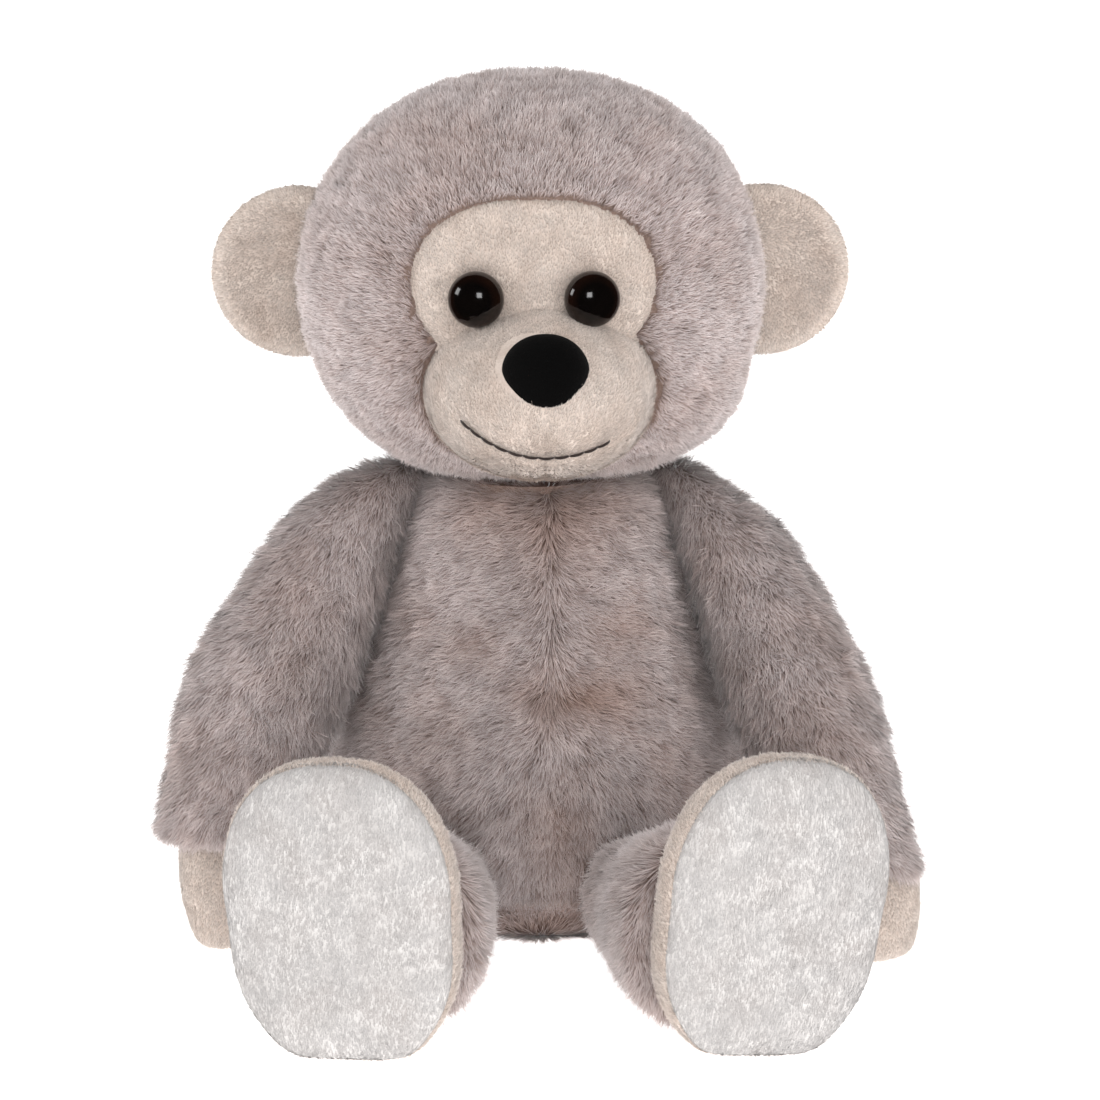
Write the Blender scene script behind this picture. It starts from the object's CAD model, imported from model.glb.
"""A seated plush monkey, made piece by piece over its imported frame.

+Z is up, the toy faces -Y, and +X is its own left. Lengths are in metres. Each fur piece is a padded
skin with its own coat of pile, and every coat and skin rides on the body that it covers.
"""

import math

import bmesh
import bpy
import numpy as np
from mathutils import Matrix, Vector


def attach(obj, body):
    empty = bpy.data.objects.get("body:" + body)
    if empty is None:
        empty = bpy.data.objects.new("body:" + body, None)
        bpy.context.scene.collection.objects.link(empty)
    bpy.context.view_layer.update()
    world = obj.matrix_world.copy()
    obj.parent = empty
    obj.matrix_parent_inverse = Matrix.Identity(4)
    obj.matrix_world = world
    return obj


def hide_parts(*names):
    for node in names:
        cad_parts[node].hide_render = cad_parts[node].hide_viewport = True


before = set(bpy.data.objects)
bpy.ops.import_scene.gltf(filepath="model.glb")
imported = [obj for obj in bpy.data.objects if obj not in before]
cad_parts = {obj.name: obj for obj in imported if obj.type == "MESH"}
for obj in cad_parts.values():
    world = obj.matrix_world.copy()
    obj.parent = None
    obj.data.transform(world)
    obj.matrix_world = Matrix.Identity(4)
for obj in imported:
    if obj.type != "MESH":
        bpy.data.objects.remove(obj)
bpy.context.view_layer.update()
mm = 0.001

# ---------------------------------------------------------------- the studio
# A pale floor of matt board, a camera with a long lens a little above the toy, and five soft boxes:
# a broad one overhead, a key and a low one in front, and one at each side.
scene = bpy.context.scene
scene.view_settings.view_transform = "Standard"

VIEW_HEIGHT = math.radians(14)
VIEW_DISTANCE = 1.3
VIEW_MIDDLE = 0.130  # height of the point that the camera goes round
camera_data = bpy.data.cameras.new("camera")
camera_data.lens = 146.8
camera_data.sensor_width = 36.0
camera_data.clip_end = 20.0
camera = bpy.data.objects.new("camera", camera_data)
scene.collection.objects.link(camera)
back, over = VIEW_DISTANCE * math.cos(VIEW_HEIGHT), VIEW_DISTANCE * math.sin(VIEW_HEIGHT)
camera.location = Vector((0, -back, VIEW_MIDDLE + over))
looking = Vector((0.0035, 0, 0.104)) - camera.location
camera.rotation_euler = looking.to_track_quat("-Z", "Y").to_euler()
scene.camera = camera


def linear(code):
    """An sRGB hex colour as the linear colour that a shader takes."""
    channels = [int(code[i : i + 2], 16) / 255 for i in (1, 3, 5)]
    return (*[c / 12.92 if c <= 0.04045 else ((c + 0.055) / 1.055) ** 2.4 for c in channels], 1.0)


def add(tree, kind, inputs=None, **settings):
    """Adds a node to a tree, with its settings, and its inputs as values or as links from other nodes."""
    made = tree.nodes.new(kind)
    for key, value in settings.items():
        setattr(made, key, value)
    for key, value in (inputs or {}).items():
        if isinstance(value, bpy.types.NodeSocket):
            tree.links.new(value, made.inputs[key])
        else:
            made.inputs[key].default_value = value
    return made


def new_material(name):
    """An empty node material, and its Principled shader."""
    made = bpy.data.materials.new(name)
    made.use_nodes = True
    return made, made.node_tree, made.node_tree.nodes["Principled BSDF"]


def set_shader(tree, shader, **values):
    """Sets or links the shader's sockets. An underscore in a name stands for a space."""
    for key, value in values.items():
        socket = shader.inputs[key.replace("_", " ")]
        if isinstance(value, bpy.types.NodeSocket):
            tree.links.new(value, socket)
        else:
            socket.default_value = value


floor_mesh = bpy.data.meshes.new("floor")
floor_mesh.from_pydata([(-6, -6, 0), (6, -6, 0), (6, 6, 0), (-6, 6, 0)], [], [(0, 1, 2, 3)])
floor = bpy.data.objects.new("floor", floor_mesh)
scene.collection.objects.link(floor)
floor.location.z = -0.4 * mm
floor.visible_glossy = False
board, tree, shader = new_material("matt_white_board")
grain = add(tree, "ShaderNodeTexNoise", {"Scale": 30.0, "Detail": 3.0})
tone_pair = {"Factor": grain.outputs["Fac"], "A": linear("#F6F5F4"), "B": linear("#FAFAF9")}
tone = add(tree, "ShaderNodeMix", tone_pair, data_type="RGBA")
set_shader(tree, shader, Base_Color=tone.outputs["Result"], Roughness=0.95, Emission_Strength=1.0)
shader.inputs["Emission Color"].default_value = (1, 1, 1, 1)
floor_mesh.materials.append(board)

world = bpy.data.worlds.new("studio")
world.use_nodes = True
world.node_tree.nodes["Background"].inputs["Color"].default_value = (1.0, 0.99, 0.98, 1)
world.node_tree.nodes["Background"].inputs["Strength"].default_value = 0.64
scene.world = world
world.cycles_visibility.glossy = False  # the eyes mirror the boxes and not the white room

SOFT_BOXES = [
    # name, place, size, power, and whether the eyes mirror it
    ("overhead", (0.1, -0.25, 1.5), 1.2, 3.0, False),
    ("key", (0.06, -1.75, 0.80), 0.5, 6.5, True),
    ("low", (0.0, -1.8, 0.16), 0.6, 3.0, False),
    ("right", (1.3, -1.1, 0.5), 0.8, 6.0, False),
    ("left", (-1.5, -0.25, 0.75), 0.5, 5.0, True),
]
for name, place, size, power, mirrored in SOFT_BOXES:
    box = bpy.data.lights.new(name, "AREA")
    box.size = size
    box.energy = power
    lamp = bpy.data.objects.new(name, box)
    scene.collection.objects.link(lamp)
    lamp.location = place
    lamp.rotation_euler = (Vector((0, 0, 0.12)) - Vector(place)).to_track_quat("-Z", "Y").to_euler()
    lamp.visible_glossy = mirrored

# ---------------------------------------------------------------- the head
# Two side panels and a crown of grey-taupe plush, sewn together, turned and stuffed hard into a ball.
# The pile is 5 mm long and is brushed outwards from the face. The skin is hollowed where the face goes.
HEAD_MIDDLE = Vector((-2.0 * mm, 0, 184.0 * mm))
HEAD_HALF = Vector((66.5 * mm, 54.0 * mm, 58.0 * mm))
HEAD_YAW = math.radians(1.1)
HEAD_ROLL = math.radians(0.4)
JOWL_FULLNESS = 0.75
CROWN_FULLNESS = 0.9
CROWN_RISE = 1.045
FACE_DEPTH = 6 * mm  # how deep the skin is hollowed behind the face
BROW_MIDDLE = Vector((0, 0, 8.4 * mm))  # from the head's middle
BROW_POWER = 2.3
BROW_HALF = (33.6 * mm, 23.6 * mm)
MUZZLE_MIDDLE = Vector((0.7 * mm, 0, -22.6 * mm))
MUZZLE_HALF = (33.0 * mm, 25.2 * mm)
MUZZLE_POWER = 2.15


def smoothstep(low, high, x):
    t = np.clip((x - low) / (high - low), 0, 1)
    return t * t * (3 - 2 * t)


def grid_mesh(name, points, poles=(True, True)):
    """A skin over points[row, column, xyz] that closes round its rows, and over its two ends."""
    rows, columns = points.shape[:2]
    vertices = [tuple(p) for p in points.reshape(-1, 3)]
    faces = []
    for r in range(rows - 1):
        for c in range(columns):
            d = (c + 1) % columns
            faces.append((r * columns + c, r * columns + d, (r + 1) * columns + d, (r + 1) * columns + c))
    for closed, row in zip(poles, (0, rows - 1)):
        if closed:
            vertices.append(tuple(points[row].mean(0)))
            ends = [row * columns + c for c in range(columns)]
            faces += [(ends[c], ends[(c + 1) % columns], len(vertices) - 1) for c in range(columns)]
    mesh = bpy.data.meshes.new(name)
    mesh.from_pydata(vertices, [], faces)
    bm = bmesh.new()
    bm.from_mesh(mesh)
    bmesh.ops.recalc_face_normals(bm, faces=bm.faces)
    bm.to_mesh(mesh)
    bm.free()
    mesh.shade_smooth()
    return mesh


def place(name, mesh, *materials):
    made = bpy.data.objects.new(name, mesh)
    scene.collection.objects.link(made)
    for material in materials:
        mesh.materials.append(material)
    return made


def skin(name, points, material, put=None, poles=(True, True)):
    """A piece from a grid of points. put is the function that takes them to their place."""
    if put is not None:
        points = put(points.reshape(-1, 3)).reshape(points.shape)
    return place(name, grid_mesh(name, points, poles), material)


def read(data, title, width):
    """The values of a mesh's layer, as rows."""
    values = np.empty(len(data) * width)
    data.foreach_get(title, values)
    return values.reshape(-1, width)


def corners(mesh):
    """A mesh's points, and their normals."""
    return read(mesh.vertices, "co", 3), read(mesh.vertex_normals, "vector", 3)


def move_corners(mesh, points):
    mesh.vertices.foreach_set("co", points.ravel())
    mesh.update()


def superellipse(x, z, half, power):
    """How far a point is from the middle of an outline, as a share of the way to its edge."""
    return (np.abs(x / half[0]) ** power + np.abs(z / half[1]) ** power) ** (1 / power)


def head_width(rise, flat):
    """The head's width at a height, as a share: its jowls are fuller than its crown."""
    return np.where(rise > 0, flat**CROWN_FULLNESS, flat**JOWL_FULLNESS)


def head_y(x, z, less):
    """The front of the head's form at points of the X-Z plane, less a depth, from the head's middle."""
    half = [size - less for size in HEAD_HALF]
    rise = np.clip(z / half[2], -0.99, 0.99)
    flat = np.sqrt(1 - rise**2)
    across = np.clip(x / (half[0] * head_width(rise, flat)), -0.99, 0.99)
    return -half[1] * flat * np.sqrt(1 - across**2)


def in_head(points):
    """Points about the head's middle, put where the head is."""
    turn = np.array(Matrix.Rotation(HEAD_YAW, 3, "Z"))
    return points @ turn.T + np.array(HEAD_MIDDLE)


def from_head(points):
    """Points of the frame, as seen about the head's middle."""
    turn = np.array(Matrix.Rotation(HEAD_YAW, 3, "Z"))
    return (points - np.array(HEAD_MIDDLE)) @ turn


def face_share(points):
    """Below 1 inside the face's opening, for points about the head's middle."""
    brow = superellipse(points[:, 0], points[:, 2] - BROW_MIDDLE.z, BROW_HALF, BROW_POWER)
    muzzle_x = points[:, 0] - MUZZLE_MIDDLE.x - 0.9 * mm
    muzzle = superellipse(muzzle_x, points[:, 2] - MUZZLE_MIDDLE.z, MUZZLE_HALF, MUZZLE_POWER)
    return np.where(points[:, 1] < -10 * mm, np.minimum(brow, muzzle), 9.0)


HEAD_SKIN_DEPTH = 1.3 * mm  # the backing cloth lies this far under the pressed pile
latitudes = np.radians(np.linspace(-84, 84, 104))[:, None]
longitudes = np.radians(np.linspace(0, 360, 160, endpoint=False))[None, :]
rise, flat = np.sin(latitudes), np.cos(latitudes)
half = [size - HEAD_SKIN_DEPTH for size in HEAD_HALF]
head_points = np.stack(
    [
        half[0] * head_width(rise, flat) * np.cos(longitudes),
        half[1] * flat * np.sin(longitudes),
        half[2] * np.where(rise > 0, CROWN_RISE * rise, rise) * np.ones_like(longitudes),
    ],
    axis=-1,
)
fuller = np.where(rise > 0, 0.03, 0.1) * smoothstep(0.3, 0.75, np.abs(rise))
# The stuffing sits a little more to the left.
head_points[..., 0] *= 1 + fuller * np.maximum(np.cos(longitudes), 0)
tilt = np.array(Matrix.Rotation(HEAD_ROLL, 3, "Y"))
head_points = head_points @ tilt.T
flat_points = head_points.reshape(-1, 3)
sunk = 1 - smoothstep(0.98, 1.04, face_share(flat_points))
scale = 1 - sunk * FACE_DEPTH / np.linalg.norm(flat_points, axis=1)
head_points = (flat_points * scale[:, None]).reshape(head_points.shape)

# Plush backing: knitted polyester seen only between the fibres, warm and darker than the pile.
backing, tree, shader = new_material("plush_backing_knit")
where = add(tree, "ShaderNodeTexCoord")
knit = add(tree, "ShaderNodeTexVoronoi", {"Vector": where.outputs["Object"], "Scale": 1100.0})
shade_pair = {"Factor": knit.outputs["Distance"], "A": linear("#6A5850"), "B": linear("#8A766D")}
shade = add(tree, "ShaderNodeMix", shade_pair, data_type="RGBA")
set_shader(tree, shader, Base_Color=shade.outputs["Result"], Roughness=1.0, Specular_IOR_Level=0.1)


def pile_material(name, root, middle, tip, warm, patch, sheen, mottle):
    """Polyester pile: darker at its root than at its tip, with a warm cast in patches and a soft sheen."""
    made, tree, shader = new_material(name)
    where = add(tree, "ShaderNodeTexCoord").outputs["Object"]
    along = add(tree, "ShaderNodeAttribute", attribute_name="along").outputs["Fac"]
    shade = add(tree, "ShaderNodeAttribute", attribute_name="shade").outputs["Fac"]
    ramp = add(tree, "ShaderNodeValToRGB", {"Fac": along})
    ramp.color_ramp.elements[0].color = linear(root)
    ramp.color_ramp.elements[1].color = linear(tip)
    ramp.color_ramp.elements.new(0.5).color = linear(middle)
    cast = add(tree, "ShaderNodeTexNoise", {"Vector": where, "Scale": 1 / patch, "Detail": 3.0})
    ends = {"From Min": 0.42, "From Max": 0.72, "To Max": 0.35}
    share = add(tree, "ShaderNodeMapRange", {"Value": cast.outputs["Fac"]} | ends)
    warmth = add(tree, "ShaderNodeAttribute", attribute_name="warmth").outputs["Fac"]
    both = {0: share.outputs["Result"], 1: warmth}
    share = add(tree, "ShaderNodeMath", both, operation="ADD", use_clamp=True)
    tinted = add(tree, "ShaderNodeMix", {"Factor": share.outputs["Value"]}, data_type="RGBA")
    tree.links.new(ramp.outputs["Color"], tinted.inputs["A"])
    deep = add(tree, "ShaderNodeMix", {"Factor": 1.0}, data_type="RGBA", blend_type="MULTIPLY")
    tree.links.new(ramp.outputs["Color"], deep.inputs["A"])
    deep.inputs["B"].default_value = linear(warm)
    tree.links.new(deep.outputs["Result"], tinted.inputs["B"])
    flow = {"Vector": where, "Scale": 2.6 / patch, "Detail": 4.0, "Distortion": 0.6}
    lay = add(tree, "ShaderNodeTexNoise", flow)
    ends = {"From Min": 0.3, "From Max": 0.7, "To Min": 1 - mottle, "To Max": 1 + 0.6 * mottle}
    light = add(tree, "ShaderNodeMapRange", {"Value": lay.outputs["Fac"]} | ends)
    fibre = add(tree, "ShaderNodeMapRange", {"Value": shade, "To Min": 0.86, "To Max": 1.1})
    both = {0: fibre.outputs["Result"], 1: light.outputs["Result"]}
    fibre = add(tree, "ShaderNodeMath", both, operation="MULTIPLY")
    final = add(tree, "ShaderNodeMix", {"Factor": 1.0}, data_type="RGBA", blend_type="MULTIPLY")
    tree.links.new(tinted.outputs["Result"], final.inputs["A"])
    tree.links.new(fibre.outputs["Value"], final.inputs["B"])
    set_shader(tree, shader, Base_Color=final.outputs["Result"], Roughness=0.9, Specular_IOR_Level=0.1)
    set_shader(tree, shader, Sheen_Weight=sheen, Sheen_Roughness=0.5)
    return made


fur_pile = pile_material("grey_taupe_pile", "#604D46", "#A89894", "#E0D7D7", "#DAC5B8", 24 * mm, 0.6, 0.2)

# One fibre of pile, a unit long: a flat taper that leans over towards +X.
BLADE = [(0, -0.5, 0), (0, 0.5, 0), (0.46, 0, 0.89)]
BLADE_ALONG = [0.0, 0.0, 1.0]
BLADE_FACE = (1, 0, 2)
blade_mesh = bpy.data.meshes.new("fibre")
blade_mesh.from_pydata(BLADE, [], [BLADE_FACE])
blade = place("fibre", blade_mesh)

# The coat's tree: points scattered over a skin, each with one fibre that leans the way that the skin is
# combed. A noise turns neighbouring fibres together, which is how pile parts and gathers in tufts.
coat = bpy.data.node_groups.new("coat_of_pile", "GeometryNodeTree")
for name, kind in {
    "Skin": "Geometry", "Fibre": "Object", "Density": "Float", "Length": "Float", "Width": "Float",
    "Lean": "Float", "Tuft Size": "Float", "Tuft Strength": "Float", "Stray": "Float", "Seed": "Int",
    "Pile": "Material",
}.items():
    coat.interface.new_socket(name, in_out="INPUT", socket_type=f"NodeSocket{kind}")
coat.interface.new_socket("Coat", in_out="OUTPUT", socket_type="NodeSocketGeometry")
given = add(coat, "NodeGroupInput").outputs
spots = add(
    coat,
    "GeometryNodeDistributePointsOnFaces",
    {"Mesh": given["Skin"], "Density": given["Density"], "Seed": given["Seed"]},
)
here = add(coat, "GeometryNodeInputPosition").outputs["Position"]
comb = add(coat, "GeometryNodeInputNamedAttribute", {"Name": "comb"}, data_type="FLOAT_VECTOR")
comb = comb.outputs["Attribute"]
often = add(coat, "ShaderNodeMath", {0: 1.0, 1: given["Tuft Size"]}, operation="DIVIDE").outputs["Value"]
tufts = add(coat, "ShaderNodeTexNoise", {"Vector": here, "Scale": often, "Detail": 3.0, "Roughness": 0.72})
centred = add(
    coat, "ShaderNodeVectorMath", {0: tufts.outputs["Color"], 1: (0.5, 0.5, 0.5)}, operation="SUBTRACT"
).outputs["Vector"]
scaled = {0: centred, "Scale": given["Tuft Strength"]}
swirl = add(coat, "ShaderNodeVectorMath", scaled, operation="SCALE").outputs["Vector"]
random = add(coat, "FunctionNodeRandomValue", {"Seed": given["Seed"]}, data_type="FLOAT_VECTOR")
random.inputs["Min"].default_value = (-1, -1, -1)
random.inputs["Max"].default_value = (1, 1, 1)
scaled = {0: random.outputs["Value"], "Scale": given["Stray"]}
stray = add(coat, "ShaderNodeVectorMath", scaled, operation="SCALE").outputs["Vector"]
flow = add(coat, "ShaderNodeVectorMath", {0: comb, 1: swirl}, operation="ADD").outputs["Vector"]
flow = add(coat, "ShaderNodeVectorMath", {0: flow, 1: stray}, operation="ADD").outputs["Vector"]
scaled = {0: flow, "Scale": given["Lean"]}
lying = add(coat, "ShaderNodeVectorMath", scaled, operation="SCALE").outputs["Vector"]
summed = {0: spots.outputs["Normal"], 1: lying}
rising = add(coat, "ShaderNodeVectorMath", summed, operation="ADD").outputs["Vector"]
turn = add(
    coat,
    "FunctionNodeAxesToRotation",
    {"Primary Axis": rising, "Secondary Axis": flow},
    primary_axis="Z",
    secondary_axis="X",
).outputs["Rotation"]
pile = add(coat, "GeometryNodeInputNamedAttribute", {"Name": "pile"}, data_type="FLOAT").outputs["Attribute"]
varied = add(coat, "FunctionNodeRandomValue", {"Seed": given["Seed"]}, data_type="FLOAT")
varied.inputs[2].default_value = 0.72
varied.inputs[3].default_value = 1.12
sized = {0: varied.outputs[1], 1: given["Length"]}
reach = add(coat, "ShaderNodeMath", sized, operation="MULTIPLY").outputs["Value"]
reach = add(coat, "ShaderNodeMath", {0: reach, 1: pile}, operation="MULTIPLY").outputs["Value"]
size = add(coat, "ShaderNodeCombineXYZ", {"X": reach, "Y": given["Width"], "Z": reach}).outputs["Vector"]
fibre = add(coat, "GeometryNodeObjectInfo", {"Object": given["Fibre"]}).outputs["Geometry"]
planted = add(
    coat,
    "GeometryNodeInstanceOnPoints",
    {"Points": spots.outputs["Points"], "Instance": fibre, "Rotation": turn, "Scale": size},
).outputs["Instances"]
tone = add(coat, "FunctionNodeRandomValue", {"Seed": given["Seed"]}, data_type="FLOAT")
named = planted
for title, kind, value in (
    ("shade", "FLOAT", tone.outputs[1]),
    ("facing", "FLOAT_VECTOR", spots.outputs["Normal"]),
):
    kept = {"Geometry": named, "Name": title, "Value": value}
    named = add(coat, "GeometryNodeStoreNamedAttribute", kept, data_type=kind, domain="INSTANCE")
    named = named.outputs["Geometry"]
real = add(coat, "GeometryNodeRealizeInstances", {"Geometry": named}).outputs["Geometry"]
dressed = add(coat, "GeometryNodeSetMaterial", {"Geometry": real, "Material": given["Pile"]})
add(coat, "NodeGroupOutput", {"Coat": dressed.outputs["Geometry"]})


def set_inputs(modifier, **values):
    """Sets a Geometry Nodes modifier's inputs by their sockets' identifiers."""
    for item in modifier.node_group.interface.items_tree:
        key = item.name.replace(" ", "_").lower()
        if item.in_out == "INPUT" and key in values:
            modifier[item.identifier] = values[key]


def fibre_mesh(name, points, facings, shades, warmths, material):
    """The final mesh of a coat, from each fibre's points. Its map gives each fibre a square of its own."""
    count, per = points.shape[:2]
    mesh = bpy.data.meshes.new(name)
    mesh.vertices.add(count * per)
    mesh.vertices.foreach_set("co", points.ravel())
    corner = np.array(BLADE_FACE)
    loops = np.arange(count)[:, None] * per + corner
    mesh.loops.add(loops.size)
    mesh.loops.foreach_set("vertex_index", loops.ravel())
    mesh.polygons.add(count)
    mesh.polygons.foreach_set("loop_start", np.arange(count) * len(corner))
    layers = {"along": np.tile(BLADE_ALONG, count)}
    layers |= {"shade": np.repeat(shades, per), "warmth": np.repeat(warmths, per)}
    for title, values in layers.items():
        mesh.attributes.new(title, "FLOAT", "POINT").data.foreach_set("value", values.astype(np.float32))
    across = np.array([0.15 + 0.7 * (BLADE[i][1] + 0.5) for i in corner])
    up = np.array([0.15 + 0.7 * BLADE_ALONG[i] for i in corner])
    side = math.ceil(math.sqrt(count))
    cell = np.arange(count)[:, None]
    layout = np.stack([(cell % side + across) / side, (cell // side + up) / side], axis=-1)
    mesh.uv_layers.new(name="OFBake").data.foreach_set("uv", layout.ravel().astype(np.float32))
    mesh.update(calc_edges=True)
    mesh.materials.append(material)
    mesh.shade_smooth()
    own = np.cross(points[:, 2] - points[:, 0], points[:, 1] - points[:, 0])
    own /= np.maximum(np.linalg.norm(own, axis=1), 1e-12)[:, None]
    own *= np.sign((own * facings).sum(1))[:, None]
    soft = 0.6 * facings + 0.5 * own  # pile takes the light as the cloth under it does
    soft /= np.linalg.norm(soft, axis=1)[:, None]
    mesh.normals_split_custom_set_from_vertices(np.repeat(soft, per, axis=0))
    return mesh


def grow(
    name, ground_piece, comb_at, material, body,
    slot="plush_fur", keep=None, pile_at=None, warm_at=None, **sizes,
):
    """Grows a coat on a piece: comb_at gives the way of the pile at points, pile_at its length as a share,
    and keep says which roots stay. The coat is one object, a plain mesh, on the same body as the piece."""
    points, normals = corners(ground_piece.data)
    ways = comb_at(points)
    ways -= normals * (ways * normals).sum(1)[:, None]
    ways /= np.maximum(np.linalg.norm(ways, axis=1), 1e-9)[:, None]
    base = ground_piece.data.copy()
    base.attributes.new("comb", "FLOAT_VECTOR", "POINT").data.foreach_set("vector", ways.ravel())
    shares = np.ones(len(points)) if pile_at is None else pile_at(points)
    base.attributes.new("pile", "FLOAT", "POINT").data.foreach_set("value", shares)
    ground = place(name + "_ground", base)
    modifier = ground.modifiers.new("coat", "NODES")
    modifier.node_group = coat
    set_inputs(modifier, fibre=blade, pile=material, **sizes)
    raw = bpy.data.meshes.new_from_object(ground.evaluated_get(bpy.context.evaluated_depsgraph_get()))
    ground.modifiers.remove(modifier)
    fibres = read(raw.vertices, "co", 3).reshape(-1, len(BLADE), 3)
    shades = read(raw.attributes["shade"].data, "value", 1)[:: len(BLADE), 0]
    facings = read(raw.attributes["facing"].data, "vector", 3)[:: len(BLADE)]
    if keep is not None:
        stays = keep(fibres[:, :2].mean(1))
        fibres, facings, shades = fibres[stays], facings[stays], shades[stays]
    warmths = np.zeros(len(fibres)) if warm_at is None else warm_at(fibres[:, 0])
    fibres[..., 2] = np.maximum(fibres[..., 2], 0.1 * mm)  # the pile lies flat under the toy
    bpy.data.objects.remove(ground)
    bpy.data.meshes.remove(raw)
    made = place(name, fibre_mesh(name, fibres, facings, shades, warmths, material))
    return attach(made, body)


head_skin = skin("head_skin", head_points, backing, in_head)
HEAD_COAT = {"density": 7.5e6, "length": 4.8 * mm, "width": 0.4 * mm, "lean": 1.1, "tuft_size": 5 * mm}
HEAD_COAT |= {"tuft_strength": 2.0, "stray": 0.4}
FACE_PLACE = np.array([-1.0, -62.0, 176.0]) * mm


def head_comb(points):
    away = points - FACE_PLACE
    away /= np.linalg.norm(away, axis=1)[:, None]
    return away + np.array([0.12, 0, -0.05])


def head_pile(points):
    share = face_share(from_head(points))
    return 0.62 + 0.38 * smoothstep(1.0, 1.35, share)


def head_part(low, high):
    """Keeps the roots between two bearings about the head, outside the face's opening and the neck."""

    def keep(roots):
        local = from_head(roots)
        bearing = np.degrees(np.arctan2(local[:, 0], -local[:, 1])) % 360
        inside = (bearing - low) % 360 < (high - low)
        return inside & (face_share(local) > 1.0) & (local[:, 2] > -55 * mm)

    return keep


for part, low, high in (("left", 0, 120), ("back", 120, 240), ("right", 240, 360)):
    grow(
        f"head_coat_{part}", head_skin, head_comb, fur_pile, "head",
        keep=head_part(low, high), pile_at=head_pile, seed=11 + low, **HEAD_COAT,
    )
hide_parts("head_plush", "head_fibrefill")
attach(head_skin, "head")

# ---------------------------------------------------------------- the brow
# One panel of cream short-pile cloth, let into the head round the eyes. Its edge turns in at the seam
# under the longer fur, and it is pulled in a little where each eye's shank goes through.
CREAM_SHORT = {"density": 6.5e6, "length": 1.7 * mm, "width": 0.36 * mm, "lean": 1.3, "tuft_size": 6 * mm}
CREAM_SHORT |= {"tuft_strength": 1.6, "stray": 0.5}
EYE_X, EYE_Z = 15.9 * mm, 189.3 * mm


def cloth_material(name, dark, light, patch):
    """Short-pile cloth: its nap lies this way and that, so it is mottled light and dark, and it is matt."""
    made, tree, shader = new_material(name)
    where = add(tree, "ShaderNodeTexCoord").outputs["Object"]
    broad = add(tree, "ShaderNodeTexNoise", {"Vector": where, "Scale": 1 / patch, "Detail": 4.0})
    fine = add(tree, "ShaderNodeTexNoise", {"Vector": where, "Scale": 1 / (0.7 * mm), "Detail": 2.0})
    both = add(tree, "ShaderNodeMix", {"Factor": 0.4, "A": broad.outputs["Fac"], "B": fine.outputs["Fac"]})
    ends = {"From Min": 0.35, "From Max": 0.65}
    share = add(tree, "ShaderNodeMapRange", {"Value": both.outputs["Result"]} | ends)
    tone_pair = {"Factor": share.outputs["Result"], "A": linear(dark), "B": linear(light)}
    tone = add(tree, "ShaderNodeMix", tone_pair, data_type="RGBA")
    raised = {"Height": fine.outputs["Fac"], "Strength": 0.5, "Distance": 0.4 * mm}
    relief = add(tree, "ShaderNodeBump", raised).outputs["Normal"]
    set_shader(tree, shader, Base_Color=tone.outputs["Result"], Normal=relief, Roughness=0.9)
    set_shader(tree, shader, Sheen_Weight=0.3, Sheen_Roughness=0.5, Specular_IOR_Level=0.2)
    return made


cream_cloth = cloth_material("cream_short_pile_cloth", "#C4B3A8", "#DED1C7", 9 * mm)
cream_pile = pile_material(
    "cream_short_pile", "#A8998F", "#CCBFB6", "#E1D8D1", "#EADBD0", 12 * mm, 0.3, 0.14
)


def rounded(part, power):
    """A sine or a cosine, as it is on the way round a superellipse."""
    return np.sign(part) * np.abs(part) ** (2 / power)


ROUND = 96  # points round a skin
angles = np.linspace(0, 2 * math.pi, ROUND, endpoint=False)
cosines, sines = np.cos(angles), np.sin(angles)
rows = []
for share in np.linspace(0.03, 1.1, 32):
    x = BROW_HALF[0] * share * rounded(cosines, BROW_POWER)
    z = BROW_MIDDLE.z + BROW_HALF[1] * share * rounded(sines, BROW_POWER)
    depth = 2.2 * mm + 2.2 * mm * smoothstep(0.9, 1.1, share)
    y = head_y(x, z, 0.0) + depth
    for side in (-1, 1):
        from_eye = np.hypot(x - side * EYE_X, z - (EYE_Z - HEAD_MIDDLE.z))
        y += 1.2 * mm * (1 - smoothstep(6 * mm, 13 * mm, from_eye))
    rows.append(np.stack([x, y, z], axis=-1))
brow = skin("brow", np.array(rows), cream_cloth, in_head, poles=(True, False))


def face_comb(points):
    """The face's nap is brushed up and outwards."""
    ways = (points - np.array([-2.0, -60.0, 160.0]) * mm) / (30 * mm)
    return ways + np.array([0, 0, 0.6])


def brow_roots(roots):
    local = from_head(roots)
    return superellipse(local[:, 0], local[:, 2] - BROW_MIDDLE.z, BROW_HALF, BROW_POWER) < 1.06


grow(
    "brow_nap", brow, face_comb, cream_pile, "head",
    slot="cream_plush", keep=brow_roots, seed=3, **CREAM_SHORT,
)
wall = brow.modifiers.new("cloth", "SOLIDIFY")
wall.thickness = 1.0 * mm
wall.offset = -1
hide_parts("brow_panel")
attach(brow, "head")

# ---------------------------------------------------------------- the muzzle
# A dome of the same cream cloth, darted down the middle under the nose and stuffed full. It is drawn in
# along its seam with the head, along the stitched smile, and a little under the nose.
MUZZLE_BACK = -26.0 * mm
MUZZLE_LENGTH = 57.0 * mm
MUZZLE_TURN = math.radians(1.6)
MUZZLE_DOME = 2.3  # the power of its outline from the side
NOSE_RISE = 13.2 * mm  # the nose's middle above the muzzle's
SMILE_MIDDLE = MUZZLE_MIDDLE.z - 10.6 * mm


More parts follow.
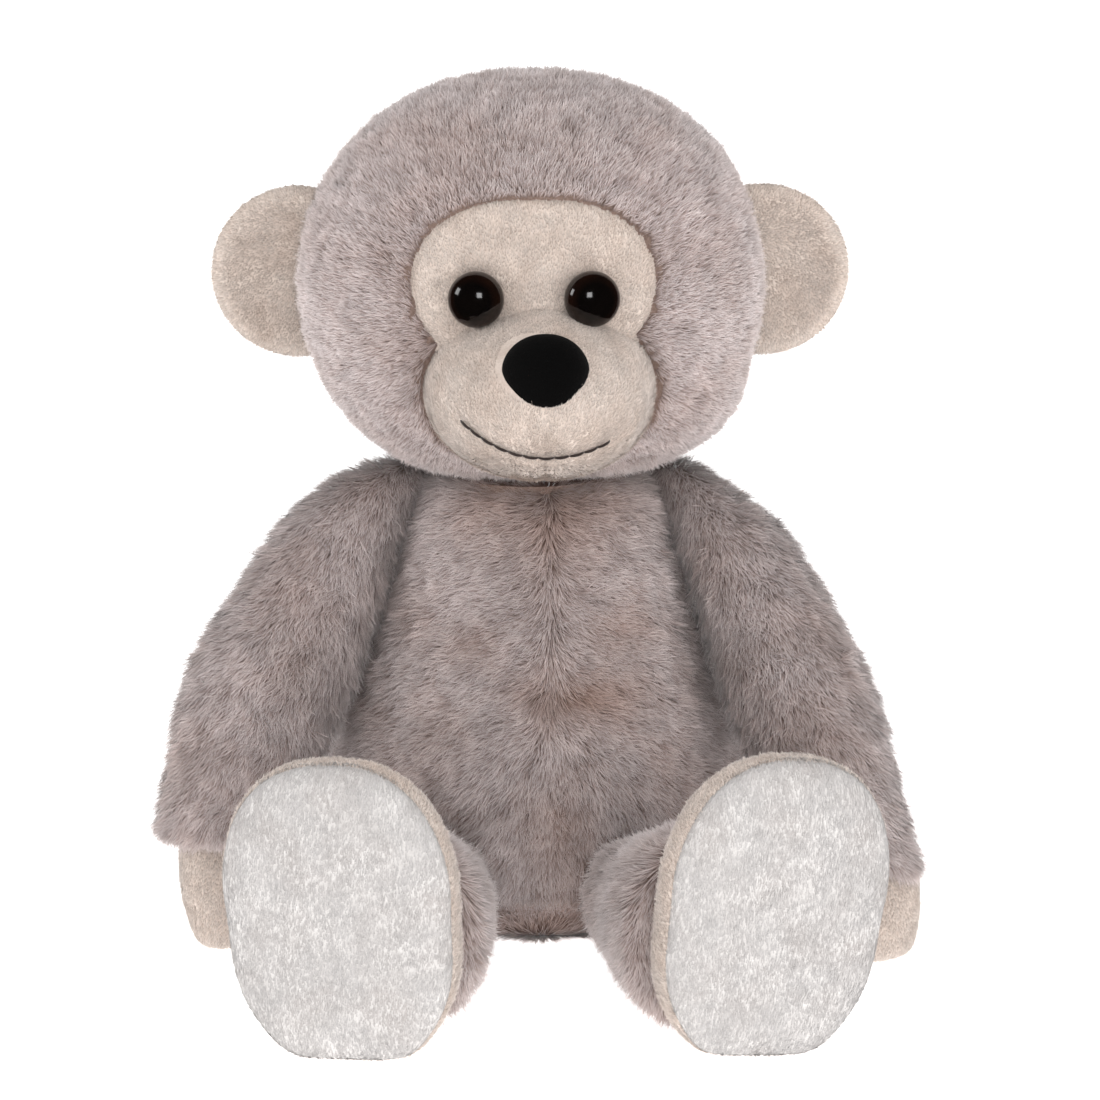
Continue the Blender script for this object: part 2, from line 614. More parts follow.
def muzzle_points(shares, turns):
    """Points of the muzzle's form about the head's middle: shares of its length, and angles round it."""
    width = (1 - shares**MUZZLE_DOME) ** 0.5
    x = MUZZLE_HALF[0] * width * rounded(np.cos(turns), MUZZLE_POWER)
    z = MUZZLE_HALF[1] * width * rounded(np.sin(turns), MUZZLE_POWER)
    z = z * np.where(z > 0, 1 + 0.09 * np.exp(-((x / (9 * mm)) ** 2)), 1.0)
    return np.stack([x, MUZZLE_BACK - MUZZLE_LENGTH * shares + 0 * x, z + MUZZLE_MIDDLE.z], axis=-1)


def smile_z(x):
    return SMILE_MIDDLE + np.where(x < 0, 8.0 * mm, 5.4 * mm) * (x / (22.5 * mm)) ** 2


def set_muzzle(points):
    """Puts the muzzle's points on the head, turned a little, as it was sewn."""
    turn = np.array(Matrix.Rotation(MUZZLE_TURN, 3, "Z"))
    return in_head(points @ turn.T + np.array([MUZZLE_MIDDLE.x, 0, 0]))


shares = np.sin(np.linspace(0, math.pi / 2, 72) * 0.995)[:, None]
muzzle_form = muzzle_points(shares, angles[None, :])
x, z = muzzle_form[..., 0], muzzle_form[..., 2]
front = smoothstep(-45 * mm, -58 * mm, muzzle_form[..., 1])
dart = np.exp(-((x / (1.3 * mm)) ** 2)) * (1 - smoothstep(-4 * mm, 6 * mm, z - MUZZLE_MIDDLE.z)) * front
drawn = np.exp(-(((z - smile_z(x)) / (2.0 * mm)) ** 2)) * (np.abs(x) < 25 * mm) * front
dimples = np.zeros_like(x)
for end in (-23 * mm, 18 * mm):
    away = ((x - end) / (4 * mm)) ** 2 + ((z - smile_z(abs(end))) / (4 * mm)) ** 2
    dimples += np.exp(-away) * front
muzzle_form[..., 1] += 0.9 * mm * dart + 1.1 * mm * drawn + 1.3 * mm * dimples
muzzle = skin("muzzle", muzzle_form, cream_cloth, set_muzzle)


def muzzle_comb(points):
    """The muzzle's nap runs up from the chin, and outwards from the dart."""
    local = from_head(points)
    return np.stack([local[:, 0] / (25 * mm), np.zeros(len(points)), np.full(len(points), 0.9)], axis=-1)


def muzzle_roots(roots):
    """In front of the seam, and not under the nose."""
    local = from_head(roots)
    aside = (local[:, 0] - MUZZLE_MIDDLE.x) / (11.6 * mm)
    under = np.hypot(aside, (local[:, 2] - MUZZLE_MIDDLE.z - NOSE_RISE) / (8.0 * mm))
    return (roots[:, 1] < -40 * mm) & ((under > 1) | (roots[:, 1] > -60 * mm))


grow(
    "muzzle_nap", muzzle, muzzle_comb, cream_pile, "head",
    slot="cream_plush", keep=muzzle_roots, seed=5, **CREAM_SHORT,
)
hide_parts("muzzle_panel", "muzzle_fibrefill")
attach(muzzle, "head")

# ---------------------------------------------------------------- the eyes
# Safety eyes, 16 mm: a moulded dome of near-black gloss plastic with a brown depth round its rim, on a
# shank that a washer grips behind the panel. They are set into the brow and look straight ahead.
EYE_RADIUS = 7.8 * mm
EYE_DOME = 5.8 * mm
EYE_INSET = 2.5 * mm

eye_plastic, tree, shader = new_material("moulded_gloss_eye_plastic")
rim = add(tree, "ShaderNodeAttribute", attribute_name="rim").outputs["Fac"]
swirl = add(tree, "ShaderNodeTexNoise", {"Scale": 260.0, "Detail": 2.0})
where = add(tree, "ShaderNodeTexCoord")
tree.links.new(where.outputs["Object"], swirl.inputs["Vector"])
ring = add(tree, "ShaderNodeValToRGB", {"Fac": rim})
ring.color_ramp.elements[0].color = linear("#050404")
ring.color_ramp.elements[0].position = 0.62
ring.color_ramp.elements[1].color = linear("#1E0F09")
ring.color_ramp.elements[1].position = 0.9
tinted = add(tree, "ShaderNodeMix", {"Factor": swirl.outputs["Fac"]}, data_type="RGBA")
tree.links.new(ring.outputs["Color"], tinted.inputs["A"])
tinted.inputs["B"].default_value = linear("#0A0706")
set_shader(tree, shader, Base_Color=tinted.outputs["Result"], Roughness=0.1, Specular_IOR_Level=0.5)

for side, eye_name in ((1, "left"), (-1, "right")):
    local = np.array([[side * EYE_X, 0.0, EYE_Z - HEAD_MIDDLE.z]])
    surface = float(head_y(local[:, 0], local[:, 2], EYE_INSET)[0])
    local = Vector((side * EYE_X, surface - 1.2 * mm, EYE_Z - HEAD_MIDDLE.z))
    half = [s - EYE_INSET for s in HEAD_HALF]
    facing = Vector((local.x / half[0] ** 2, local.y / half[1] ** 2, local.z / half[2] ** 2)).normalized()
    turn = Matrix.Rotation(HEAD_YAW, 3, "Z")
    centre = turn @ local + HEAD_MIDDLE
    facing = turn @ facing
    across = Vector((0, 0, 1)).cross(facing).normalized()
    up = facing.cross(across)
    profile = [(EYE_RADIUS - 0.7 * mm, -0.6 * mm), (EYE_RADIUS, 0.0), (EYE_RADIUS, 0.7 * mm)]
    for a in np.radians(np.linspace(6, 84, 14)):
        profile.append((EYE_RADIUS * math.cos(a), 0.8 * mm + EYE_DOME * math.sin(a)))
    rings = []
    for radius, height in profile:
        ring_points = [
            centre + facing * height + (across * math.cos(a) + up * math.sin(a)) * radius
            for a in np.linspace(0, 2 * math.pi, 48, endpoint=False)
        ]
        rings.append([tuple(p) for p in ring_points])
    eye_mesh = grid_mesh(f"safety_eye_{eye_name}", np.array(rings))
    points, _ = corners(eye_mesh)
    flat_part = points - np.array(centre)
    flat_part -= np.outer(flat_part @ np.array(facing), np.array(facing))
    rims = np.linalg.norm(flat_part, axis=1) / EYE_RADIUS
    eye_mesh.attributes.new("rim", "FLOAT", "POINT").data.foreach_set("value", rims)
    eye = place(f"safety_eye_{eye_name}", eye_mesh, eye_plastic)
    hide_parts(f"eye_{eye_name}")
    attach(eye, "head")

washer_plastic, tree, shader = new_material("natural_moulded_washer_plastic")
where = add(tree, "ShaderNodeTexCoord")
mould = add(tree, "ShaderNodeTexNoise", {"Vector": where.outputs["Object"], "Scale": 900.0})
tone_pair = {"Factor": mould.outputs["Fac"], "A": linear("#DEDCD5"), "B": linear("#EAE8E2")}
tone = add(tree, "ShaderNodeMix", tone_pair, data_type="RGBA")
set_shader(tree, shader, Base_Color=tone.outputs["Result"], Roughness=0.5)
for name in ("eye_washer_left", "eye_washer_right", "nose_washer"):
    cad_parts[name].data.materials.clear()
    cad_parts[name].data.materials.append(washer_plastic)

# ---------------------------------------------------------------- the nose
# A moulded button covered with black flock, broad and round at its top and blunt at its lower point.
# Flock is a velvet of very short fibres, so it is almost without gloss and a little grey at its edge.
NOSE_HALF = (12.1 * mm, 11.0 * mm)
NOSE_TILT = math.radians(38)

flock, tree, shader = new_material("black_flock")
where = add(tree, "ShaderNodeTexCoord").outputs["Object"]
speck = add(tree, "ShaderNodeTexNoise", {"Vector": where, "Scale": 2600.0, "Detail": 3.0})
tone_pair = {"Factor": speck.outputs["Fac"], "A": linear("#030303"), "B": linear("#0A0909")}
tone = add(tree, "ShaderNodeMix", tone_pair, data_type="RGBA")
relief = add(tree, "ShaderNodeBump", {"Height": speck.outputs["Fac"], "Strength": 0.8, "Distance": 0.25 * mm})
set_shader(tree, shader, Base_Color=tone.outputs["Result"], Normal=relief.outputs["Normal"], Roughness=0.95)
set_shader(tree, shader, Sheen_Weight=0.03, Sheen_Roughness=0.4, Specular_IOR_Level=0.1)

nose_height = MUZZLE_MIDDLE.z + NOSE_RISE
share = NOSE_RISE / MUZZLE_HALF[1]
nose_y = MUZZLE_BACK - MUZZLE_LENGTH * (1 - share**2) ** (1 / MUZZLE_DOME)
nose_out = Vector((0, -math.cos(NOSE_TILT), math.sin(NOSE_TILT)))
nose_up = Vector((0, math.sin(NOSE_TILT), math.cos(NOSE_TILT)))
rows = []
for t in np.linspace(0.0, 1.0, 22):
    spread = math.sin(t * math.pi / 2 * 0.985) ** 0.72
    lift = 4.6 * mm * math.cos(t * math.pi / 2) ** 0.75 if t < 1 else 0.0
    x = NOSE_HALF[0] * spread * rounded(cosines, 2.25)
    v = NOSE_HALF[1] * spread * rounded(sines, 2.25)
    taper = 1 - 0.2 * smoothstep(0.3, -1.0, v / NOSE_HALF[1])
    hug = -4.4 * mm * (x / NOSE_HALF[0]) ** 2 - 2.2 * mm * (v / NOSE_HALF[1]) ** 2
    base = [0, nose_y, nose_height]
    point = np.array(base) + np.outer(1.4 * mm + lift + hug, nose_out) + np.outer(v, nose_up)
    point[:, 0] += x * taper
    rows.append(point)
skirt = rows[-1] - np.outer(np.full(ROUND, 4.0 * mm), nose_out)
nose = skin("flocked_nose", np.array([*rows, skirt]), flock, set_muzzle)
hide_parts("nose")
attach(nose, "head")

# ---------------------------------------------------------------- the smile
# Back stitches of dark brown embroidery thread, each about 4 mm long, pulled into the muzzle's cloth.
# A stitch is two plies twisted together, dips at both ends, and meets the next in one needle hole.
STITCH = 4.2 * mm
THREAD_RADIUS = 0.42 * mm

thread, tree, shader = new_material("dark_brown_embroidery_thread")
where = add(tree, "ShaderNodeTexCoord").outputs["Object"]
twist = {"Vector": where, "Scale": 700.0, "Distortion": 1.0}
ply = add(tree, "ShaderNodeTexWave", twist, bands_direction="DIAGONAL")
tone_pair = {"Factor": ply.outputs["Fac"], "A": linear("#1B110E"), "B": linear("#372722")}
tone = add(tree, "ShaderNodeMix", tone_pair, data_type="RGBA")
set_shader(tree, shader, Base_Color=tone.outputs["Result"], Roughness=0.6, Sheen_Weight=0.2)


def muzzle_front(x, z):
    """Where the muzzle's form is in front of its X-Z plane."""
    share = superellipse(x, z - MUZZLE_MIDDLE.z, MUZZLE_HALF, MUZZLE_POWER)
    return MUZZLE_BACK - MUZZLE_LENGTH * (1 - np.minimum(share, 0.99) ** 2) ** (1 / MUZZLE_DOME)


bm = bmesh.new()
reaches = np.linspace(-23.0 * mm, 17.5 * mm, 400)
line = np.stack([reaches, muzzle_front(reaches, smile_z(reaches)), smile_z(reaches)], axis=-1)
lengths = np.concatenate([[0], np.cumsum(np.linalg.norm(np.diff(line, axis=0), axis=1))])
count = round(lengths[-1] / STITCH)
for i in range(count):
    steps = np.linspace(lengths[-1] * i / count, lengths[-1] * (i + 1) / count, 9)
    middle = np.stack([np.interp(steps, lengths, line[:, k]) for k in range(3)], axis=-1)
    ends = np.sin(np.linspace(0, math.pi, 9)) ** 0.5
    middle[:, 1] += 1.1 * mm - (1.3 * mm) * ends
    tube = []
    for j, spot in enumerate(middle):
        forward = middle[min(j + 1, 8)] - middle[max(j - 1, 0)]
        forward = Vector(forward).normalized()
        over = Vector((0, -1, 0))
        aside = forward.cross(over).normalized()
        over = aside.cross(forward)
        radius = THREAD_RADIUS * (0.55 + 0.45 * ends[j])
        tube.append([Vector(spot) + (aside * math.cos(a) + over * math.sin(a)) * radius
                     for a in np.linspace(0, 2 * math.pi, 8, endpoint=False)])
    rings = [[bm.verts.new(p) for p in ring_points] for ring_points in tube]
    for one, two in zip(rings, rings[1:]):
        for k in range(8):
            bm.faces.new((one[k], one[(k + 1) % 8], two[(k + 1) % 8], two[k]))
    bm.faces.new(rings[0])
    bm.faces.new(rings[-1])
bmesh.ops.recalc_face_normals(bm, faces=bm.faces)
smile_mesh = bpy.data.meshes.new("smile_stitches")
bm.to_mesh(smile_mesh)
bm.free()
points, _ = corners(smile_mesh)
move_corners(smile_mesh, set_muzzle(points))
smile_mesh.shade_smooth()
smile = place("smile_stitches", smile_mesh, thread)
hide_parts("mouth_stitch")
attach(smile, "head")

# ---------------------------------------------------------------- the ears
# Two rounds of cream cloth sewn face to face, turned, and hardly stuffed. The front is hollow in its
# middle, its rim is rounded by the turned seam, and the root is gathered into the head's side seam.
EAR_RADIUS = 24.6 * mm


def in_ear(side, points):
    """Points about an ear's middle, put where it is on the head."""
    local = points + np.array([side * HEAD_HALF[0], 3.0 * mm, 2.4 * mm])
    return in_head(local)


for side, ear_name in ((1, "left"), (-1, "right")):
    rows = []
    for t in np.linspace(-1, 1, 40):
        share = math.cos(t * math.pi / 2) ** 0.62 if abs(t) < 1 else 0.02
        share = max(share, 0.02)
        thick = 4.6 * mm * math.sin(t * math.pi / 2)
        x = EAR_RADIUS * share * cosines
        z = EAR_RADIUS * share * sines
        hollow = 7.5 * mm * max(0.0, 1 - (share / 0.86) ** 2) if t < 0 else 0.0
        y = thick + hollow
        crease = np.exp(-(((x * side + 9 * mm) / (3.2 * mm)) ** 2))
        crease = crease * (1 - smoothstep(8 * mm, 20 * mm, np.abs(z)))
        y = y + (2.2 * mm * crease if t < 0 else 0)
        rows.append(np.stack([x, y + 0 * x, z], axis=-1))
    ear = skin(f"ear_{ear_name}", np.array(rows), cream_cloth, lambda points: in_ear(side, points))

    def ear_comb(points, side=side):
        middle = np.array([side * 66.0, 0, 188.0]) * mm
        return (points - middle) / (20 * mm) + np.array([0.3 * side, 0, -0.3])

    def ear_roots(roots, side=side):
        local = from_head(roots)
        return np.abs(local[:, 0]) > 59 * mm

    grow(f"ear_nap_{ear_name}", ear, ear_comb, cream_pile, f"ear_{ear_name}", slot="cream_plush",
         keep=ear_roots, seed=21 + side, **CREAM_SHORT)
    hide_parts(f"ear_front_{ear_name}", f"ear_back_{ear_name}")
    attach(ear, f"ear_{ear_name}")

# ---------------------------------------------------------------- the torso
# A pear of grey-taupe plush with a seam up its front and back, closed by the gathered neck and by a flat
# seat panel of the same plush. The pile is 6 mm long, brushed down, and parts in warm shadowed swirls.
TORSO_SKIN_DEPTH = 2.0 * mm
TORSO_SECTIONS = [
    # height, half width, half depth in front, half depth behind
    (0.8, 53.0, 46.0, 44.0),
    (2.6, 56.0, 48.3, 47.0),
    (8.5, 57.0, 47.6, 47.5),
    (20.0, 61.5, 47.0, 51.0),
    (32.0, 62.0, 47.5, 52.5),
    (45.0, 59.5, 51.0, 51.5),
    (60.0, 55.0, 51.5, 49.0),
    (78.0, 48.8, 47.0, 44.0),
    (96.0, 42.5, 40.0, 38.5),
    (112.0, 36.8, 33.0, 33.0),
    (121.0, 34.0, 28.5, 28.5),
    (127.0, 28.0, 22.0, 22.0),
    (131.0, 16.0, 11.0, 11.0),
]


def spline(values, count):
    """Smooth rows through a table's rows, evenly spread along it."""
    table = np.array(values, float)
    out = []
    for t in np.linspace(0, len(table) - 1, count):
        i = min(int(t), len(table) - 2)
        f = t - i
        p0, p1 = table[max(i - 1, 0)], table[i]
        p2, p3 = table[i + 1], table[min(i + 2, len(table) - 1)]
        out.append(0.5 * (2 * p1 + (p2 - p0) * f + (2 * p0 - 5 * p1 + 4 * p2 - p3) * f**2
                          + (3 * p1 - p0 - 3 * p2 + p3) * f**3))
    return np.array(out)


rows = []
for height, across, before, behind in spline(TORSO_SECTIONS, 72) * mm:
    less = TORSO_SKIN_DEPTH * (1 - 0.75 * smoothstep(0.4, 0.75, np.abs(cosines)))
    x = np.maximum(across - less, 2 * mm) * cosines
    y = np.where(sines > 0, np.maximum(behind - less, 2 * mm), np.maximum(before - less, 2 * mm)) * sines
    rows.append(np.stack([x, y, np.full_like(x, height)], axis=-1))
torso_skin = skin("torso_skin", np.array(rows), backing)

PARTING = 3 * mm
FAN_FROM = np.array([6.0, -50.0, 62.0]) * mm
WARM_PATCHES = [
    # x, z, half width, half height in mm, and how warm
    (-15, 88, 8, 6, 0.5),
    (20, 90, 12, 6, 0.5),
    (12, 74, 13, 7, 0.9),
    (2, 122, 24, 11, 0.55),
    (8, 30, 9, 16, 0.35),
]


def torso_comb(points):
    """The pile parts along the middle of the chest and runs to both sides. Low on the belly it fans out
    and down from one point. It runs down the back, and up and sideways round the seat."""
    x, y, z = points.T
    chest = np.stack([np.tanh((x - PARTING) / (9 * mm)), 0 * x, -0.25 - np.abs(x) / (90 * mm)], axis=-1)
    fan = (points - FAN_FROM) / (25 * mm)
    fan[:, 1] = 0
    fan[:, 2] -= 0.35
    fan /= np.maximum(np.linalg.norm(fan, axis=1), 0.3)[:, None]
    low = smoothstep(10 * mm, -12 * mm, z - FAN_FROM[2])[:, None]
    front = chest * (1 - low) + fan * low
    behind = np.array([0.0, 0.0, -1.0])
    ways = np.where(y[:, None] < 0, front, behind)
    brushed = np.stack([0.8 * np.tanh(x / (20 * mm)), 0 * x, 0.5 + 0 * x], axis=-1)
    seat = smoothstep(11 * mm, 9 * mm, z)[:, None]
    return ways * (1 - seat) + brushed * seat


def torso_pile(points):
    """Shorter at the seat's seam, in the crease under the belly, and where the sleeves press."""
    x, y, z = points.T
    seam = np.exp(-(((z - 11.5 * mm) / (2.0 * mm)) ** 2))
    crease = np.exp(-(((x - 7 * mm) / (1.6 * mm)) ** 2))
    crease = crease * smoothstep(60 * mm, 48 * mm, z) * smoothstep(24 * mm, 34 * mm, z)
    pressed = smoothstep(0.72, 0.9, np.abs(x) / (60 * mm)) * smoothstep(55 * mm, 75 * mm, z)
    return 1 - 0.6 * seam - 0.5 * crease * (y < 0) - 0.3 * pressed


def torso_warmth(points):
    """The pile's warm patches on the belly, and its warm edge all round the seat."""
    x, y, z = points.T / mm
    share = np.zeros(len(points))
    for at, up, wide, tall, much in WARM_PATCHES:
        share += much * np.exp(-(((x - at) / wide) ** 2 + ((z - up) / tall) ** 2)) * (y < 0)
    return share + 0.5 * smoothstep(11, 8, z)


FUR_COAT = {"density": 6.5e6, "length": 6.4 * mm, "width": 0.44 * mm, "lean": 0.9, "tuft_size": 6 * mm}
FUR_COAT |= {"tuft_strength": 2.8, "stray": 0.45}
for part, front in (("front", True), ("back", False)):
    grow(
        f"torso_coat_{part}", torso_skin, torso_comb, fur_pile, "torso",
        keep=lambda roots, front=front: ((roots[:, 1] < 0) == front) & (roots[:, 2] < 128 * mm),
        pile_at=torso_pile, warm_at=torso_warmth, seed=31 + front, **FUR_COAT,
    )
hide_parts("torso_plush", "torso_fibrefill", "bean_bag", "seat_panel")
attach(torso_skin, "torso")

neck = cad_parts["neck_seam"]
neck.data.materials.clear()
neck.data.materials.append(backing)

# ---------------------------------------------------------------- the arms
# Long sleeves of plush, fuller above the wrist, sewn shut into the shoulder seam and hanging forward.
# The pile is brushed down the arm and stands out all round the cuff, where the hand comes out.
ARM_LENGTH = 102.0 * mm
ARM_SKIN_DEPTH = 1.0 * mm
SIDE_SLOPE = math.radians(19.26)
ARM_SECTIONS = [
    # share of the length, half thickness, half width, lift off the torso's side
    (-0.172, 2.5, 3.0, -3.0),
    (-0.160, 6.0, 8.0, -3.5),
    (-0.11, 10.0, 13.5, -2.5),
    (-0.03, 13.5, 18.0, -1.0),
    (0.10, 17.0, 19.5, 0.0),
    (0.28, 19.8, 20.5, 0.0),
    (0.48, 21.6, 20.5, 0.3),
    (0.66, 21.8, 19.5, 1.5),
    (0.84, 19.4, 18.2, 4.0),
    (1.0, 17.2, 17.2, 7.0),
]
ARMS = {
    # side, shoulder, forward swing, thickness share, the hand's lean and toe, how much slimmer above the
    # elbow, how much longer the outer cuff, and how high its top reaches
    "left": (1, (40.69, 0, 108.18), 32.6, 0.90, -3, -11, 0.2, 10.0, 1.35),
    "right": (-1, (-38.76, 0, 113.68), 25.0, 1.02, -7, -6, 2.0, -1.5, 1.0),
}


def in_frame(matrix):
    """The function that takes points about a frame's origin to their place."""
    turn = np.array(matrix.to_3x3())
    return lambda points: points @ turn.T + np.array(matrix.translation)


def steady(way):
    """A comb that runs one way all over a piece."""
    return lambda points: way + 0 * points


HAND_SECTIONS = [
    # distance below the wrist, half width, half thickness
    (-9.5, 3.0, 3.0),
    (-8.6, 6.0, 6.0),
    (-5.2, 9.2, 9.2),
    (0.0, 10.6, 10.6),
    (4.0, 11.4, 10.6),
    (8.5, 13.0, 11.4),
    (15.0, 15.0, 11.9),
    (22.0, 15.4, 11.6),
    (28.0, 15.0, 10.6),
    (32.0, 13.8, 9.2),
    (33.9, 10.0, 6.0),
    (34.5, 4.0, 2.6),
]
HAND_SHAPES = {"left": (1.18, 3.0 * mm), "right": (1.0, 0.0)}  # thickness share, and how far outwards

for arm_name, (side, shoulder, swing, share, lean, toe, slim, skirt, top) in ARMS.items():
    swing, lean, toe = (math.radians(angle) for angle in (swing, lean, toe))
    slim, skirt = slim * mm, skirt * mm
    matrix = Matrix.Translation(Vector(shoulder) * mm) @ Matrix.Rotation(-side * SIDE_SLOPE, 4, "Y")
    matrix = matrix @ Matrix.Rotation(-swing, 4, "X")
    turned = matrix.to_3x3().to_4x4()
    hand_turn = turned.inverted() @ Matrix.Rotation(lean, 4, "Y") @ Matrix.Rotation(toe, 4, "X")
    rows = []
    for along, thick, width, lift in spline(ARM_SECTIONS, 60):
        along *= top if along < 0 else 1
        thick *= share * mm
        centre = np.array([side * (thick + lift * mm), 0, -along * ARM_LENGTH])
        bend = max(0.0, along - 0.66) / 0.34
        facing_hand = Matrix.Identity(3).to_quaternion().slerp(hand_turn.to_quaternion(), bend)
        less = ARM_SKIN_DEPTH + slim * smoothstep(0.62, 0.28, along) + 1.0 * mm * smoothstep(0.1, -0.1, along)
        inner = (less + 0.8 * mm) * smoothstep(-0.7, 0.5, side * cosines) - 0.4 * mm
        across = np.outer(np.maximum(thick - inner, 1.5 * mm) * cosines, facing_hand @ Vector((1, 0, 0)))
        forward = max(width * mm - less, 1.5 * mm) * np.outer(sines, facing_hand @ Vector((0, 1, 0)))
        hang = skirt * smoothstep(0.7, 1.0, along) * smoothstep(-0.2, 1.0, side * cosines)
        rows.append(centre + across + forward + np.outer(hang, (0, 0, -1)))
    sleeve = skin(f"sleeve_{arm_name}", np.array(rows), backing, in_frame(matrix))
    down = np.array(turned @ Vector((0, 0, -1)))
    outward = np.array([side * 0.2, 0.25, 0])
    arm_comb = steady(down + outward)
    grow(f"sleeve_coat_{arm_name}", sleeve, arm_comb, fur_pile, f"arm_{arm_name}", seed=41 + side, **FUR_COAT)
    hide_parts(f"arm_plush_{arm_name}", f"arm_fibrefill_{arm_name}")
    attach(sleeve, f"arm_{arm_name}")

    # The hand is a mitten of cream cloth, two panels sewn round their edge, lightly stuffed.
    last = ARM_SECTIONS[-1]
    wrist = matrix @ Vector((side * (last[1] * share + last[3]) * mm, 0, -ARM_LENGTH))
    hand_frame = Matrix.Translation(wrist) @ Matrix.Rotation(lean, 4, "Y") @ Matrix.Rotation(toe, 4, "X")
    stretch, outwards = HAND_SHAPES[arm_name]
    rows = []
    for below, width, thick in spline(HAND_SECTIONS, 44) * mm:
        x = max(thick, 0.8 * mm) * cosines * stretch + outwards
        y = max(width, 0.8 * mm) * rounded(sines, 2.2)
        rows.append(np.stack([x, y, np.full_like(x, -below)], axis=-1))
    hand = skin(f"mitten_{arm_name}", np.array(rows), cream_cloth, in_frame(hand_frame))
    hand_comb = steady(np.array([0.0, 0, -1.0]))
    grow(f"mitten_nap_{arm_name}", hand, hand_comb, cream_pile, f"hand_{arm_name}", slot="cream_plush",
         seed=51 + side, **CREAM_SHORT)
    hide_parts(f"hand_{arm_name}", f"hand_fibrefill_{arm_name}")
    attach(hand, f"hand_{arm_name}")

# ---------------------------------------------------------------- the legs
# Short tubes of plush, sewn into the torso's front beside the seat, wider at the ankle than at the hip.
# The pile runs back from the foot and down.
LEGS = {"left": (1, 21.5, 8.0), "right": (-1, 14.5, -4.0)}  # side, splay and roll in degrees
HIP = Vector((31.0, -58.58, 17.3)) * mm
LEG_LENGTH = 60.0 * mm
LEG_SKIN_DEPTH = 1.2 * mm
LEG_POWER = 2.3
LEG_SPREAD = 2.4 * mm  # on its inner side, towards the ankle
ANKLE_RISE = 10.5 * mm
LEG_SECTIONS = [
    # distance from the hip, radius, rise
    (-17.0, 2.0, 0.0),
    (-15.8, 6.4, 0.0),
    (-10.9, 13.0, 0.0),
    (-3.5, 16.6, 0.0),
    (14.3, 20.3, 3.3),
    (28.5, 23.6, 6.6),
    (42.8, 26.8, 9.8),
    (53.0, 27.8, 10.5),
    (57.5, 26.5, 10.5),
    (59.0, 17.0, 10.5),
]
FOOT_SECTIONS = [
    # distance before the ankle, half width, half height, clear of the floor
    (-6.0, 10.0, 10.0, 15.0),
    (-4.0, 16.5, 18.0, 7.5),
    (1.5, 21.5, 25.0, 3.8),
    (6.0, 26.0, 32.0, 2.4),
    (11.5, 30.2, 38.6, 1.0),
    (17.0, 32.0, 41.0, 0.8),
    (22.5, 32.0, 41.2, 0.8),
    (24.6, 30.6, 39.8, 2.0),
]
ANKLE_HEIGHT = 27.8 * mm

white_cloth = cloth_material("off_white_short_pile_cloth", "#BDB9B7", "#D2CFCD", 10 * mm)
white_pile = pile_material(
    "off_white_short_pile", "#AFABAA", "#B9B6B5", "#C1BEBD", "#F2E9E4", 14 * mm, 0.3, 0.05
)


def foot_outline(width, tall):
    """A foot's outline from in front: narrower and flatter at the heel than at the toe."""
    power = np.where(sines > 0, 2.4, 5.0)
    x = width * rounded(cosines, power)
    z = tall * rounded(sines, power)
    return x * (1 - 0.26 * smoothstep(0.2, -0.9, sines)), z


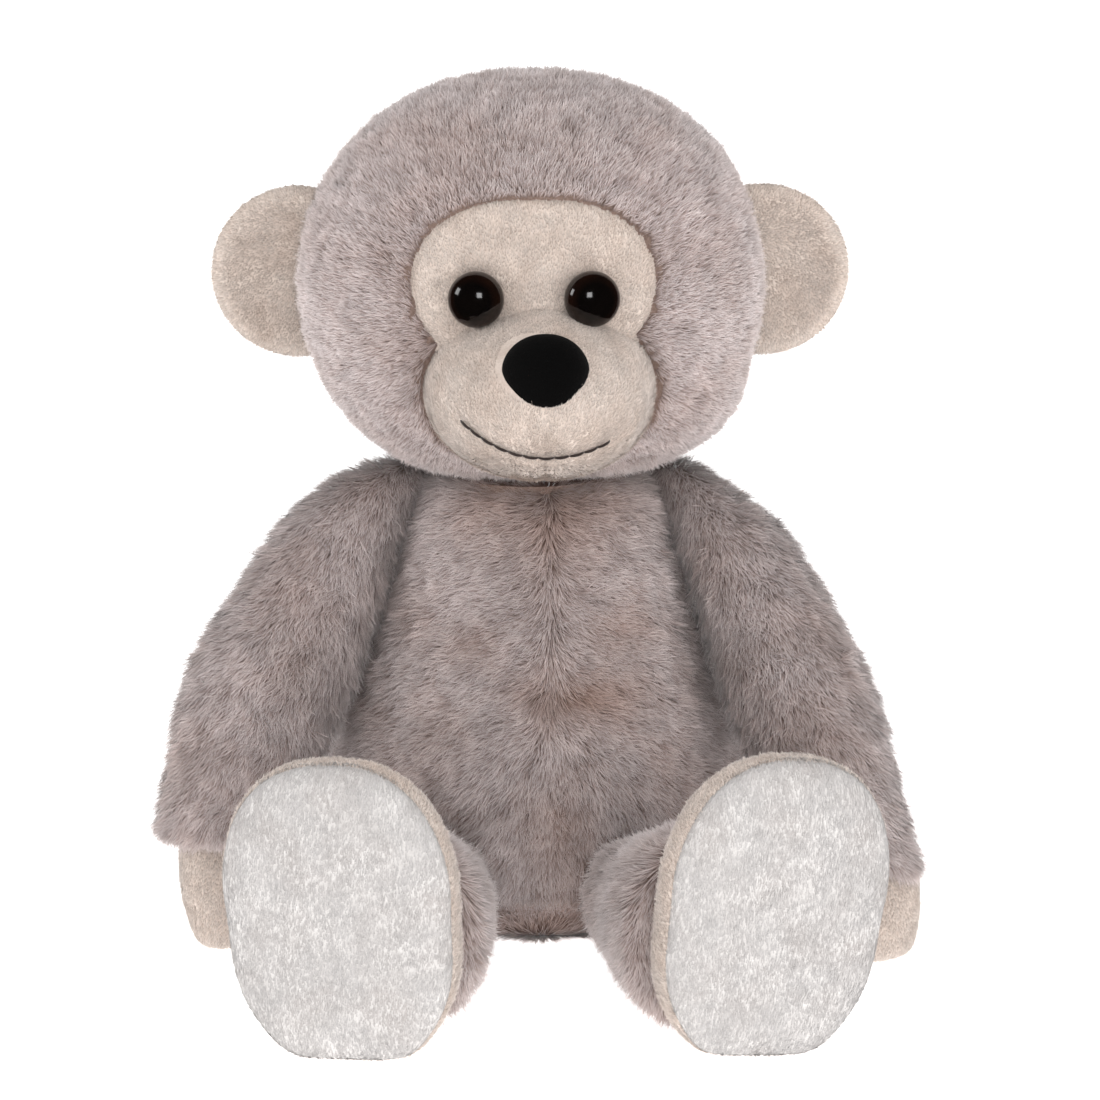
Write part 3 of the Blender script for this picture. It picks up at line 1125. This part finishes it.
for leg_name, (side, splay, roll) in LEGS.items():
    hip = Vector((side * HIP.x, HIP.y, HIP.z))
    matrix = Matrix.Translation(hip) @ Matrix.Rotation(math.radians(side * splay), 4, "Z")
    rows = []
    for distance, radius, rise in spline(LEG_SECTIONS, 50) * mm:
        radius = max(radius - LEG_SKIN_DEPTH, 1.2 * mm)
        wide = radius + LEG_SPREAD * smoothstep(10 * mm, 45 * mm, distance) * (side * cosines < 0)
        x = wide * rounded(cosines, LEG_POWER)
        z = rise + radius * rounded(sines, LEG_POWER)
        rows.append(np.stack([x, np.full(ROUND, -distance), z], axis=-1))
    leg = skin(f"leg_{leg_name}", np.array(rows), backing, in_frame(matrix))
    forward = np.array(matrix.to_3x3() @ Vector((0, -1, 0)))
    leg_comb = steady(-0.5 * forward + np.array([0, 0, -0.7]))
    grow(f"leg_coat_{leg_name}", leg, leg_comb, fur_pile, f"leg_{leg_name}", seed=61 + side, **FUR_COAT)
    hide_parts(f"leg_plush_{leg_name}", f"leg_fibrefill_{leg_name}")
    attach(leg, f"leg_{leg_name}")

    # The foot: a cream upper gathered round its front, and an off-white sole panel sewn to its edge.
    ankle = matrix @ Matrix.Translation((0, -LEG_LENGTH, ANKLE_RISE))
    ankle = ankle @ Matrix.Rotation(math.radians(roll), 4, "Y")
    rows = []
    for distance, width, tall, clear in spline(FOOT_SECTIONS, 40) * mm:
        x, z = foot_outline(width, tall)
        z = z + tall + clear - ANKLE_HEIGHT
        rows.append(np.stack([x, np.full(ROUND, -distance), z], axis=-1))
    foot = skin(f"foot_upper_{leg_name}", np.array(rows), cream_cloth, in_frame(ankle))
    foot_comb = steady(-0.6 * forward + np.array([0, 0, 0.5]))
    grow(f"foot_nap_{leg_name}", foot, foot_comb, cream_pile, f"foot_{leg_name}", slot="cream_plush",
         seed=71 + side, **CREAM_SHORT)
    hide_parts(f"foot_{leg_name}", f"foot_fibrefill_{leg_name}")
    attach(foot, f"foot_{leg_name}")

    last = FOOT_SECTIONS[-2]
    rows = []
    for t in np.linspace(0, 1, 26):
        spread = math.cos(t * math.pi / 2 * 0.98) ** 0.55
        lift = 6.4 * mm * math.sin(t * math.pi / 2) ** 1.1
        x, z = foot_outline(last[1] * 0.99 * mm * spread, last[2] * 0.99 * mm * spread)
        z = z + (last[2] + last[3]) * mm - ANKLE_HEIGHT
        rows.append(np.stack([x, np.full(ROUND, -(24.2 * mm + lift)), z], axis=-1))
    back_row = rows[0] + np.array([0, 2.0 * mm, 0])
    sole = skin(f"sole_panel_{leg_name}", np.array([back_row, *rows]), white_cloth, in_frame(ankle))
    sole_comb = steady(np.array([0.1, 0, 1.0]))
    grow(f"sole_nap_{leg_name}", sole, sole_comb, white_pile, f"foot_{leg_name}", slot="white_plush",
         seed=81 + side, **(CREAM_SHORT | {"lean": 1.8, "tuft_strength": 0.7, "stray": 0.25}))
    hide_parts(f"sole_{leg_name}")
    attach(sole, f"foot_{leg_name}")

# ---------------------------------------------------------------- done
# The fibre that the coats were made from goes, and the sizes before and after are written down.
bpy.data.objects.remove(blade)
